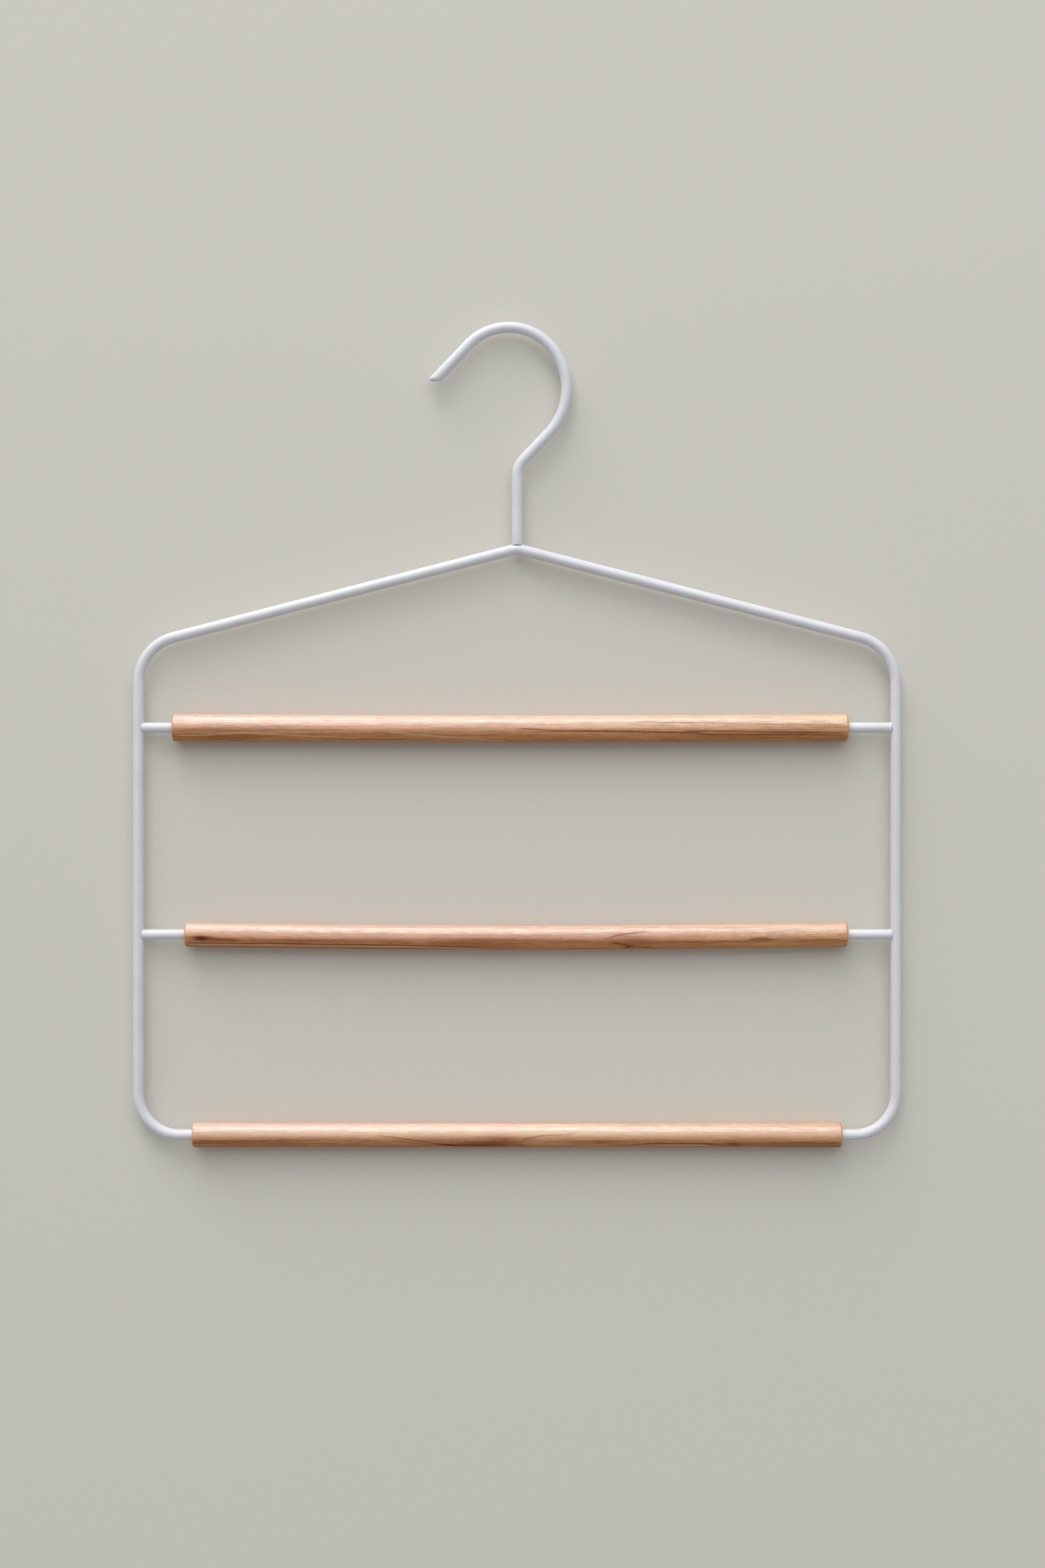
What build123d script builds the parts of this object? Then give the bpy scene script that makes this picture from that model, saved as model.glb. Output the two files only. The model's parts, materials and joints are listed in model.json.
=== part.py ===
"""Trouser hanger: a bent wire frame and hook that carry three turning wooden dowels.

Lengths are in millimetres and angles in degrees. X runs across the hanger, Y through it and Z up.
The origin is the point inside the hook where a rail bears. Every outline is drawn in the hanger's
own upright plane, from the corner where the centre lines of the two shoulders would meet.
"""

import os
from math import cos, radians, sin, tan

from build123d import *

# Wire frame
wire_diameter = 5.0
frame_width = 353.0
frame_drop = 269.2
shoulder_angle = 14.45
apex_bend_radius = 10.0
shoulder_bend_radius = 21.5
bottom_bend_radius = 19.0
wire_end_chamfer = 0.6

# Hook
neck_rise = 37.9
neck_bend_radius = 10.7
neck_angle = 43.6
neck_run = 16.8
bow_side_radius = 29.6
bow_top_radius = 25.6
bow_join_angle = 39.8
tail_run = 23.3
tail_tip_chamfer = 1.2
foot_sink = 0.4

# Pegs
peg_diameter = 4.8
peg_insertion = 15.0
peg_tip_chamfer = 0.3
peg_foot_sink = 0.8

# Dowels
upper_bar_drop = 82.2
middle_bar_drop = 177.2
upper_dowel_diameter = 12.5
middle_dowel_diameter = 11.2
bottom_dowel_diameter = 11.2
upper_dowel_gap = 16.65
middle_dowel_gap = 19.6
bottom_dowel_lead = 6.1
dowel_end_play = 4.0
dowel_edge_chamfer = 0.7
bore_clearance = 0.08

# Two dowels were photographed pushed to the left, by these shares of their end play
upper_shift_share = 0.8
middle_shift_share = 0.1

# How far the cuts run past what they cut
overrun = 2.0

# Worked out from the sizes above
wire_radius = wire_diameter / 2
peg_radius = peg_diameter / 2
side_x = (frame_width - wire_diameter) / 2
shoulder_z = -side_x * tan(radians(shoulder_angle))
bottom_z = -frame_drop
inner_side_x = side_x - wire_radius
peg_foot_x = inner_side_x + peg_foot_sink

upper_dowel_length = 2 * (inner_side_x - upper_dowel_gap)
middle_dowel_length = 2 * (inner_side_x - middle_dowel_gap)
bottom_dowel_length = 2 * (side_x - bottom_bend_radius - bottom_dowel_lead)
upper_dowel_x = -upper_shift_share * dowel_end_play
middle_dowel_x = -middle_shift_share * dowel_end_play
wire_end_x = bottom_dowel_length / 2 - peg_insertion

# The hook's bow is two arcs whose centres lie on one line through the point where they join
neck_heading = (sin(radians(neck_angle)), cos(radians(neck_angle)))
neck_tangent = neck_bend_radius * tan(radians(neck_angle / 2))
bow_start_x = (neck_tangent + neck_run) * neck_heading[0]
bow_start_z = neck_rise + (neck_tangent + neck_run) * neck_heading[1]
bow_side_x = bow_start_x - bow_side_radius * neck_heading[1]
bow_side_z = bow_start_z + bow_side_radius * neck_heading[0]
bow_top_x = bow_side_x + (bow_side_radius - bow_top_radius) * cos(radians(bow_join_angle))
bow_top_z = bow_side_z + (bow_side_radius - bow_top_radius) * sin(radians(bow_join_angle))
bow_top_turn = 180 - neck_angle - bow_join_angle
seat_x = bow_top_x
seat_z = bow_top_z + bow_top_radius - wire_radius

# The hook's foot stands in a flat just under the crest of the frame's apex bend
apex_crest_z = wire_radius - apex_bend_radius * (1 / cos(radians(shoulder_angle)) - 1)
foot_z = apex_crest_z - foot_sink

# The hanger's plane is placed so that the rail seat falls on the origin
hanger_plane = Plane(origin=(-seat_x, 0, -seat_z), x_dir=(1, 0, 0), z_dir=(0, -1, 0))


def across(x, z, heading):
    """A plane square to the X axis at a point of the hanger's plane, facing +X or -X."""
    return Plane(origin=hanger_plane.from_local_coords((x, z)), x_dir=(0, heading, 0), z_dir=(heading, 0, 0))


def level(x, z):
    """A level plane, facing up, at a point of the hanger's plane."""
    return Plane(origin=hanger_plane.from_local_coords((x, z)), x_dir=(1, 0, 0), z_dir=(0, 0, 1))


def make_frame_wire():
    """One wire, bent from its right end inside the bottom dowel round to its left end."""
    corners = [
        (wire_end_x, bottom_z),
        (side_x, bottom_z),
        (side_x, shoulder_z),
        (0, 0),
        (-side_x, shoulder_z),
        (-side_x, bottom_z),
        (-wire_end_x, bottom_z),
    ]
    bends = [
        bottom_bend_radius,
        shoulder_bend_radius,
        apex_bend_radius,
        shoulder_bend_radius,
        bottom_bend_radius,
    ]
    with BuildPart() as frame_wire:
        with BuildLine(hanger_plane):
            FilletPolyline(*corners, radius=bends)
        with BuildSketch(across(wire_end_x, bottom_z, 1)):
            Circle(wire_radius)
        sweep()
        cut_ends = frame_wire.faces().filter_by(Plane.YZ)
        chamfer(cut_ends.edges(), wire_end_chamfer)

        # The weld presses the square-cut feet of the hook and the pegs into shallow flats on this wire
        with BuildSketch(level(0, foot_z)):
            Circle(wire_radius)
        extrude(amount=foot_sink + overrun, mode=Mode.SUBTRACT)
        for bar_drop in (upper_bar_drop, middle_bar_drop):
            for side in (-1, 1):
                with BuildSketch(across(side * peg_foot_x, -bar_drop, -side)):
                    Circle(peg_radius)
                extrude(amount=peg_foot_sink + overrun, mode=Mode.SUBTRACT)
    return frame_wire.part


def make_hook():
    """A shank, a neck and a two-arc bow whose tail comes back parallel to the neck."""
    neck_bend_z = neck_rise - neck_tangent
    tail_angle = 180 - neck_angle
    tail_start_x = bow_top_x + bow_top_radius * cos(radians(tail_angle))
    tail_start_z = bow_top_z + bow_top_radius * sin(radians(tail_angle))
    tip_x = tail_start_x - tail_run * neck_heading[0]
    tip_z = tail_start_z - tail_run * neck_heading[1]
    with BuildPart() as hook:
        with BuildLine(hanger_plane):
            Line((0, foot_z), (0, neck_bend_z))
            CenterArc((neck_bend_radius, neck_bend_z), neck_bend_radius, 180, -neck_angle)
            Line(
                (neck_tangent * neck_heading[0], neck_rise + neck_tangent * neck_heading[1]),
                (bow_start_x, bow_start_z),
            )
            CenterArc((bow_side_x, bow_side_z), bow_side_radius, -neck_angle, neck_angle + bow_join_angle)
            CenterArc((bow_top_x, bow_top_z), bow_top_radius, bow_join_angle, bow_top_turn)
            Line(
                (tail_start_x, tail_start_z),
                (tip_x - wire_diameter * neck_heading[0], tip_z - wire_diameter * neck_heading[1]),
            )
        with BuildSketch(level(0, foot_z)):
            Circle(wire_radius)
        sweep()

        # The tail is sheared off level
        with BuildSketch(level(tip_x, tip_z)):
            Rectangle(4 * wire_diameter, 2 * wire_diameter)
        extrude(amount=-2 * wire_diameter, mode=Mode.SUBTRACT)
        tip_face = hook.faces().filter_by(Plane.XY).sort_by(Axis.X)[0]
        chamfer(tip_face.edges(), tail_tip_chamfer)
    return hook.part


def make_peg(side, bar_z, gap):
    """A peg whose square-cut foot is sunk in a side wire, and that reaches inwards into a dowel."""
    with BuildPart() as peg:
        with BuildSketch(across(side * peg_foot_x, bar_z, -side)):
            Circle(peg_radius)
        extrude(amount=peg_foot_sink + gap + peg_insertion)
        tip_face = peg.faces().filter_by(Plane.YZ).sort_by(Axis.X)[0 if side > 0 else -1]
        chamfer(tip_face.edges(), peg_tip_chamfer)
    return peg.part


def make_dowel(centre_x, bar_z, length, diameter, pin_diameter):
    """A turned dowel with eased rims and a blind bore in each end, as deep as the pin and the end play."""
    radius = diameter / 2
    bore_radius = pin_diameter / 2 + bore_clearance
    bore_depth = peg_insertion + dowel_end_play
    half = length / 2
    centre = hanger_plane.from_local_coords((centre_x, bar_z))
    with BuildPart() as dowel:
        with BuildSketch(Plane(origin=centre, x_dir=(1, 0, 0), z_dir=(0, -1, 0))) as section:
            with BuildLine():
                Polyline(
                    (-half, bore_radius),
                    (-half, radius),
                    (half, radius),
                    (half, bore_radius),
                    (half - bore_depth, bore_radius),
                    (half - bore_depth, 0),
                    (-half + bore_depth, 0),
                    (-half + bore_depth, bore_radius),
                    close=True,
                )
            make_face()
            rims = section.vertices().group_by(Axis.Y)[-1]
            chamfer(rims, dowel_edge_chamfer)
        revolve(axis=Axis(centre, (1, 0, 0)))
    return dowel.part


def export_piece(piece, name):
    """Label one piece and write it under its own name."""
    piece.label = name
    export_step(piece, f"parts/{name}.step")


os.makedirs("parts", exist_ok=True)

export_piece(make_frame_wire(), "frame_wire")
export_piece(make_hook(), "hook")

for bar, bar_drop, gap in (("upper", upper_bar_drop, upper_dowel_gap), ("middle", middle_bar_drop, middle_dowel_gap)):
    for hand, side in (("left", -1), ("right", 1)):
        export_piece(make_peg(side, -bar_drop, gap), f"{bar}_{hand}_peg")

upper = make_dowel(upper_dowel_x, -upper_bar_drop, upper_dowel_length, upper_dowel_diameter, peg_diameter)
middle = make_dowel(middle_dowel_x, -middle_bar_drop, middle_dowel_length, middle_dowel_diameter, peg_diameter)
bottom = make_dowel(0, bottom_z, bottom_dowel_length, bottom_dowel_diameter, wire_diameter)
export_piece(upper, "upper_dowel")
export_piece(middle, "middle_dowel")
export_piece(bottom, "bottom_dowel")
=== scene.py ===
"""Trouser hanger: its coated wire, its turned wooden dowels and the studio round them.

The file is laid out as an add-on and is run as a script. Each operator makes one group of pieces, and
every piece is a surface worked out with numpy round the packed frame, whose sizes and places it keeps.
Lengths are in metres. X runs across the hanger, Y through it and Z up.
"""

import json
import math

import bpy
import numpy as np
from bpy.props import FloatProperty, FloatVectorProperty, IntProperty, PointerProperty
from bpy.types import Operator, Panel, PropertyGroup
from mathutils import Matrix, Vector


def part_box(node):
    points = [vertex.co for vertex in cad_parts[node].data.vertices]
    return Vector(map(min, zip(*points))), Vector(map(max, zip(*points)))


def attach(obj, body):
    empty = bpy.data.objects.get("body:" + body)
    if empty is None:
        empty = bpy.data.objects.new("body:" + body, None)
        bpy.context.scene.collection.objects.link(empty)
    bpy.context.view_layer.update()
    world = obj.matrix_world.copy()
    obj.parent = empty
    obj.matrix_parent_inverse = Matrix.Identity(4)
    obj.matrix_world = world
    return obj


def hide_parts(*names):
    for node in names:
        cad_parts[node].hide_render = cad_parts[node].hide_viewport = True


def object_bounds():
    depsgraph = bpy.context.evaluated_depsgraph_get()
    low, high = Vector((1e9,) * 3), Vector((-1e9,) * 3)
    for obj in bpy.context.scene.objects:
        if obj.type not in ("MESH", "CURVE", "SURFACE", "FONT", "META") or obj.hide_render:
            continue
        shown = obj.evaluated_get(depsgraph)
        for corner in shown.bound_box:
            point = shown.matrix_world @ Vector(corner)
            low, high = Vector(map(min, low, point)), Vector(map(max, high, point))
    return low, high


bl_info = {
    "name": "Trouser Hanger",
    "version": (1, 0, 0),
    "blender": (4, 5, 0),
    "location": "View3D > Sidebar > Hanger",
    "description": "Builds a coated wire trouser hanger with three turned wooden dowels",
    "category": "Add Mesh",
}

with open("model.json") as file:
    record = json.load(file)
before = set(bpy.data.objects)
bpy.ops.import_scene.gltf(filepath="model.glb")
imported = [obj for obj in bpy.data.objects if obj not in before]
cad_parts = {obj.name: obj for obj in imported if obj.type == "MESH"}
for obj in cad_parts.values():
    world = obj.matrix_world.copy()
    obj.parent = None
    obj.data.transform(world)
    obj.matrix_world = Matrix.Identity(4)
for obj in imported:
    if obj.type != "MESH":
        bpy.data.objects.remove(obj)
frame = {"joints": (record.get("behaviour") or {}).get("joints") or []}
cad_low, cad_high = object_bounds()

MM = 0.001
THROUGH = np.array((0.0, 1.0, 0.0))

# Each bar's axis, from the joints of the packed frame
BAR_AXIS = {joint["child"]: joint["pos_m"] for joint in frame["joints"]}
CENTRE_X, _, BOTTOM_Z = BAR_AXIS["bottom_dowel"]

FRAME_LOW, FRAME_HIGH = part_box("frame_wire")

# Longest steps between rings, along a straight wire and round a bend
RUN_STEP = 4 * MM
BEND_STEP = math.radians(2.5)

# An edge that turns by more than this stays sharp
SHARP_EDGE = math.radians(50)

# Thickness to which a weld's edges thin out
THIN_EDGE = 0.02 * MM


# Sizes and colours


def length(name, description, millimetres):
    """A length property, whose default is given in millimetres."""
    metres = millimetres * MM
    return FloatProperty(name=name, description=description, default=metres, unit="LENGTH", precision=5)


def angle(name, description, degrees):
    """An angle property, whose default is given in degrees."""
    return FloatProperty(name=name, description=description, default=math.radians(degrees), unit="ROTATION")


def share(name, description, value):
    """A factor from nothing to one."""
    return FloatProperty(
        name=name, description=description, default=value, min=0.0, max=1.0, subtype="FACTOR")


def power(name, description, watts):
    """The power of a lamp."""
    return FloatProperty(name=name, description=description, default=watts, min=0.0, unit="POWER")


def colour(name, description, value):
    """A linear colour without alpha."""
    return FloatVectorProperty(name=name, description=description, default=value, size=3, subtype="COLOR")


class HangerFrameSettings(PropertyGroup):
    """Sizes of the frame's wire and its bends."""

    wire_diameter: length("Wire Diameter", "Diameter of the frame's and the hook's wire", 5.0)
    drop: length("Drop", "Height of the apex above the bottom dowel's axis", 269.2)
    shoulder_angle: angle("Shoulder Angle", "Fall of each shoulder", 14.45)
    apex_bend: length("Apex Bend", "Bend radius of the apex", 10.0)
    shoulder_bend: length("Shoulder Bend", "Bend radius of the shoulder corners", 21.5)
    bottom_bend: length("Bottom Bend", "Bend radius of the bottom corners", 19.0)
    end_insertion: length("End Insertion", "Length of wire inside each end of the bottom dowel", 15.0)
    end_chamfer: length("End Chamfer", "Chamfer on the wire's cut ends", 0.6)
    sides: IntProperty(name="Sides", description="Faces round each wire", default=56, min=12)


class HangerHookSettings(PropertyGroup):
    """Sizes of the hook and its weld."""

    foot_sink: length("Foot Sink", "Depth of the foot under the apex's crest", 0.4)
    foot_round: length("Foot Round", "Rounding on the rim of the shank's square-cut foot", 0.22)
    neck_rise: length("Neck Rise", "Height of the neck's corner above the apex", 37.9)
    neck_bend: length("Neck Bend", "Bend radius of the neck", 10.7)
    neck_angle: angle("Neck Angle", "Turn of the neck", 43.6)
    neck_run: length("Neck Run", "Straight length between the neck and the bow", 16.8)
    side_bend: length("Side Bend", "Radius of the bow's side", 29.6)
    top_bend: length("Top Bend", "Radius of the bow's top", 25.6)
    join_angle: angle("Join Angle", "Height on the bow where its two arcs join", 39.8)
    tail_run: length("Tail Run", "Straight length of the tail", 23.3)
    tip_round: length("Tip Round", "Rounding on the tail's level cut", 1.4)
    flash: length("Weld Flash", "Thickness of the flash at each side of the foot", 0.34)


class HangerPegSettings(PropertyGroup):
    """Sizes of the pegs and their welds."""

    diameter: length("Peg Diameter", "Diameter of the pegs", 4.8)
    tip_chamfer: length("Tip Chamfer", "Chamfer on the pegs' tips", 0.3)
    foot_round: length("Foot Round", "Rounding on the rim of each square-cut foot", 0.3)
    bead_unevenness: share("Bead Unevenness", "How much the bead's reach varies round the peg", 0.3)


class HangerDowelSettings(PropertyGroup):
    """Sizes of the dowels."""

    rim_round: length("Rim Round", "Rounding on the dowels' rims", 0.75)
    bore_clearance: length("Bore Clearance", "Gap round a pin in its bore", 0.08)
    bore_depth: length("Bore Depth", "Depth of the bores", 19.0)
    bore_break: length("Bore Break", "Width of the broken edge at a bore's mouth", 0.25)
    upper_bow: length("Upper Bow", "Natural sag of the upper dowel at mid-length", 0.5)
    middle_bow: length("Middle Bow", "Natural sag of the middle dowel at mid-length", 1.3)
    bottom_bow: length("Bottom Bow", "Natural sag of the bottom dowel at mid-length", 0.0)
    sides: IntProperty(name="Sides", description="Faces round each dowel", default=132, min=12)


class HangerFinishSettings(PropertyGroup):
    """Colours and finishes."""

    coat: colour("Coat", "Colour of the powder coat", (0.77, 0.77, 0.81))
    coat_shade: colour("Coat Shade", "Colour of the coat where it is thin", (0.70, 0.69, 0.72))
    coat_roughness: share("Coat Roughness", "Roughness of the coat", 0.42)
    coat_gloss: share("Coat Gloss", "Strength of the coat's mirrored light", 0.5)
    coat_peel: length("Coat Peel", "Height of the coat's orange peel", 0.004)
    earlywood: colour("Earlywood", "Colour of the rings' soft, pale part", (0.72, 0.338, 0.120))
    latewood: colour("Latewood", "Colour of the rings' dense, dark line", (0.38, 0.112, 0.022))
    blush: colour("Blush", "Colour of the pinker heartwood", (0.67, 0.275, 0.100))
    gold: colour("Gold", "Colour of the yellower heartwood", (0.74, 0.400, 0.135))
    stain: colour("Stain", "Colour of the dark red veins", (0.20, 0.042, 0.010))
    sapwood: colour("Sapwood", "Colour of the pale sapwood", (0.74, 0.50, 0.28))
    knot: colour("Knot", "Colour of a knot's heart", (0.10, 0.018, 0.004))
    wood_roughness: share("Wood Roughness", "Roughness of the sanded wood", 0.50)
    wood_ior: FloatProperty(
        name="Wood IOR", description="Refractive index of the wood's sealed skin", default=1.62, min=1.0)
    wood_grain: length("Wood Grain", "Height of the raised fibres", 0.008)


class HangerStageSettings(PropertyGroup):
    """The floor behind the hanger, the lamps and the camera."""

    floor: colour("Floor", "Colour of the plain floor", (0.70, 0.68, 0.615))
    surround: colour("Surround", "Colour seen past the floor", (0.80, 0.79, 0.76))
    floor_gap: length("Floor Gap", "Distance from the hanger's plane to the floor", 6.5)
    key_power: power("Key Power", "Power of the window-like lamp above", 320.0)
    shine_power: power("Shine Power", "Power of the lamp that is seen only in the dowels' gloss", 1850.0)
    fill_power: power("Fill Power", "Power of the faint lamp in front", 58.0)
    sky: FloatProperty(name="Sky", description="Strength of the light from above", default=0.42, min=0.0)
    ground: share("Ground", "Strength of the light from below as a share of the sky's", 0.8)
    ground_shine: share("Ground Shine", "Mirrored brightness below, as a share of the surround's", 0.05)
    view_height: length("View Height", "Height of the picture at the hanger's plane", 720.4)
    view_x: length("View X", "Middle of the picture across the hanger", 6.3)
    view_z: length("View Z", "Middle of the picture along the hanger", -207.3)
    view_distance: length("View Distance", "Distance from the camera to the hanger", 1000.0)
    lens: FloatProperty(name="Lens", description="Focal length of the camera", default=50.0, unit="CAMERA")


# Surfaces


def bent_path(start, heading, plan):
    """Stations along a wire bent in the XZ plane, as a bending machine makes it: feed, bend, feed, bend.

    Each entry of the plan is a straight feed, a turn (left is positive) and the bend's radius. A bend's
    points are centre - side * radius * left(h), where left(h) = (-sin h, cos h) and the heading h grows
    evenly from the bend's start to its end. Returns the points (x, z) and the headings.
    """
    point = np.array(start, float)
    points, headings = [point[None]], [np.array([heading])]
    for feed, turn, radius in plan:
        ahead = np.array((math.cos(heading), math.sin(heading)))
        steps = max(2, math.ceil(feed / RUN_STEP))
        runs = np.linspace(0, feed, steps + 1)[1:, None]
        points.append(point + runs * ahead)
        headings.append(np.full(steps, heading))
        point = point + feed * ahead
        if turn:
            side = math.copysign(1, turn)
            centre = point + side * radius * np.array((-math.sin(heading), math.cos(heading)))
            steps = max(3, math.ceil(abs(turn) / BEND_STEP))
            h = heading + np.linspace(0, turn, steps + 1)[1:]
            points.append(centre - side * radius * np.stack((-np.sin(h), np.cos(h)), axis=1))
            headings.append(h)
            point, heading = points[-1][-1], h[-1]
    return np.concatenate(points), np.concatenate(headings)


def round_wire(points, headings, radii, sides):
    """Rings round a path in the XZ plane: point + radius * (cos a * left(h) + sin a * Y).

    The angle a goes full circle, and left(h) = (-sin h, cos h) for the path's heading h.
    """
    a = np.linspace(0, 2 * np.pi, sides, endpoint=False)
    left = np.stack((-np.sin(headings), np.zeros_like(headings), np.cos(headings)), axis=1)
    centres = np.stack((points[:, 0], np.zeros(len(points)), points[:, 1]), axis=1)
    ring = np.cos(a)[None, :, None] * left[:, None] + np.sin(a)[None, :, None] * THROUGH
    return centres[:, None] + np.asarray(radii)[:, None, None] * ring


def turned_bar(x, radii, drops, axis_z, sides, reverse=False):
    """Rings of a bar turned about a line along X: (x, radius * cos a, axis_z + radius * sin a - drop)."""
    a = np.linspace(0, 2 * np.pi, sides, endpoint=False)[None]
    if reverse:
        a = -a
    x, radii, drops = (np.asarray(v, float)[:, None] for v in (x, radii, drops))
    ring_x = np.broadcast_to(x, (len(x), sides))
    return np.stack((ring_x, radii * np.cos(a), axis_z + radii * np.sin(a) - drops), axis=2)


def surface(name, grid, material, body, node=None, closed=False):
    """Makes an object from rows of rings. Open rows end in a pole at the middle of their last ring.

    A face joins each two neighbours of a ring to the same two of the next, so that its normal is the
    direction along the rows crossed with the direction round the ring. A closed grid's last row joins
    its first, as on a torus.
    """
    rows, columns = grid.shape[:2]
    here = np.arange(rows * columns).reshape(rows, columns)
    if not closed:
        here = here[:-1]
    ahead = (here + columns) % (rows * columns)
    quads = np.stack((here, ahead, np.roll(ahead, -1, axis=1), np.roll(here, -1, axis=1)), axis=2)
    vertices, faces = grid.reshape(-1, 3), quads.reshape(-1, 4).tolist()
    if not closed:
        poles = grid[[0, -1]].mean(axis=1)
        vertices = np.concatenate((vertices, poles))
        first, last = np.arange(columns), np.arange(columns) + (rows - 1) * columns
        start = np.stack((np.full(columns, rows * columns), first, np.roll(first, -1)), axis=1)
        end = np.stack((np.full(columns, rows * columns + 1), np.roll(last, -1), last), axis=1)
        faces += start.tolist() + end.tolist()
    mesh = bpy.data.meshes.new(name)
    mesh.from_pydata(vertices, [], faces)
    mesh.shade_smooth()
    mesh.set_sharp_from_angle(angle=SHARP_EDGE)
    mesh.materials.append(material)
    piece = bpy.data.objects.new(name, mesh)
    bpy.context.scene.collection.objects.link(piece)
    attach(piece, body)
    if node:
        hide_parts(node)
    return piece


def quarter(steps):
    """Angles of a quarter turn, from nothing to square."""
    return np.linspace(0, np.pi / 2, steps + 1)


# Materials


# Patterns, as features to the metre along X, Y and Z
COAT_CLOUDS = (90.0, 90.0, 90.0)
COAT_SPECKS = (2600.0, 2600.0, 2600.0)
COAT_PEEL = (1500.0, 1500.0, 1500.0)
RING_WAVER = (22.0, 260.0, 260.0)
WOOD_MOTTLE = (45.0, 300.0, 300.0)
WOOD_STREAKS = (12.0, 620.0, 620.0)
WOOD_FIBRES = (150.0, 1700.0, 1700.0)
WOOD_SPECKS = (700.0, 2600.0, 2600.0)

# How dark a growth ring is at places through its width
RING_PROFILE = ((0.0, 0.25), (0.10, 0.05), (0.55, 0.16), (0.84, 0.55), (0.94, 1.0), (1.0, 0.3))

# The wood's darkness is this level plus each pattern times its own weight
GRAIN_LEVEL = -2.07
RING_WEIGHT, MOTTLE_WEIGHT, STREAK_WEIGHT, FIBRE_WEIGHT, SPECK_WEIGHT = 0.4, 0.5, 1.9, 1.5, 0.8


def fill_inputs(tree, node, inputs):
    """Fills a node's inputs, each with a value or a link."""
    for name, value in inputs.items():
        if isinstance(value, bpy.types.NodeSocket):
            tree.links.new(value, node.inputs[name])
        else:
            node.inputs[name].default_value = value


def add_node(tree, kind, inputs=None, **settings):
    """Adds a node, applies its settings and fills its inputs."""
    node = tree.nodes.new(kind)
    for name, value in settings.items():
        setattr(node, name, value)
    fill_inputs(tree, node, inputs or {})
    return node


def calculate(tree, operation, *values):
    """One Math node's result."""
    return add_node(tree, "ShaderNodeMath", dict(enumerate(values)), operation=operation).outputs[0]


def mix_colours(tree, factor, one, other, mode="MIX"):
    """One Mix node's colour. Its inputs 6 and 7 are the two colours."""
    inputs = {0: factor, 6: one, 7: other}
    node = add_node(tree, "ShaderNodeMix", inputs, data_type="RGBA", blend_type=mode)
    return node.outputs[2]


def weighted(tree, start, *pairs):
    """A starting value plus each value times its weight."""
    total = start
    for value, weight in pairs:
        total = calculate(tree, "MULTIPLY_ADD", value, weight, total)
    return total


def held(tree, value):
    """A value held between nothing and one."""
    return calculate(tree, "MINIMUM", calculate(tree, "MAXIMUM", value, 0.0), 1.0)


def remap(tree, value, low, high, to_low=0.0, to_high=1.0, smooth=False):
    """A value carried from one range to another and held inside it."""
    inputs = {0: value, 1: low, 2: high, 3: to_low, 4: to_high}
    kind = "SMOOTHSTEP" if smooth else "LINEAR"
    return add_node(tree, "ShaderNodeMapRange", inputs, interpolation_type=kind).outputs[0]


def attribute(tree, name):
    """A value stored on the piece's own points."""
    return add_node(tree, "ShaderNodeAttribute", attribute_name=name).outputs["Fac"]


def noise(tree, scales, detail=2.0, roughness=0.5):
    """Noise on the piece's own coordinates, with so many features to the metre along X, Y and Z."""
    place = add_node(tree, "ShaderNodeTexCoord").outputs["Object"]
    scaled = add_node(tree, "ShaderNodeVectorMath", {0: place, 1: scales}, operation="MULTIPLY").outputs[0]
    inputs = {"Vector": scaled, "Scale": 1.0, "Detail": detail, "Roughness": roughness}
    return add_node(tree, "ShaderNodeTexNoise", inputs).outputs["Fac"]


def raised(tree, height, distance, strength):
    """The direction of a surface whose points stand out by a height, as a share of a distance."""
    inputs = {"Strength": strength, "Distance": distance, "Height": height}
    return add_node(tree, "ShaderNodeBump", inputs).outputs[0]


def opaque(value):
    """A colour with its alpha."""
    return (*value, 1.0)


def new_material(name):
    """An empty material with a Principled shader, and its node tree."""
    material = bpy.data.materials.new(name)
    material.use_nodes = True
    tree = material.node_tree
    tree.nodes.clear()
    shader = add_node(tree, "ShaderNodeBsdfPrincipled")
    add_node(tree, "ShaderNodeOutputMaterial", {"Surface": shader.outputs[0]})
    return material, tree, shader


def coat_material(finish):
    """Satin powder coat: fine orange peel over a slightly clouded white."""
    if "powder_coat" in bpy.data.materials:
        return bpy.data.materials["powder_coat"]
    material, tree, shader = new_material("powder_coat")
    cloud = noise(tree, COAT_CLOUDS, detail=3.0)
    speck = noise(tree, COAT_SPECKS, detail=1.0)
    peel = noise(tree, COAT_PEEL)
    thin = remap(tree, cloud, 0.35, 0.75, 0.0, 0.55, smooth=True)
    clouded = mix_colours(tree, thin, opaque(finish.coat), opaque(finish.coat_shade))
    speckling = remap(tree, speck, 0.60, 0.85, 0.0, 0.16)
    smooth, rough = finish.coat_roughness - 0.04, finish.coat_roughness + 0.06
    fill_inputs(tree, shader, {
        "Base Color": mix_colours(tree, speckling, clouded, opaque(finish.coat_shade), "MULTIPLY"),
        "Roughness": remap(tree, peel, 0.3, 0.7, smooth, rough),
        "Specular IOR Level": finish.coat_gloss,
        "Normal": raised(tree, peel, finish.coat_peel, 1.0),
    })
    return material


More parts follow.
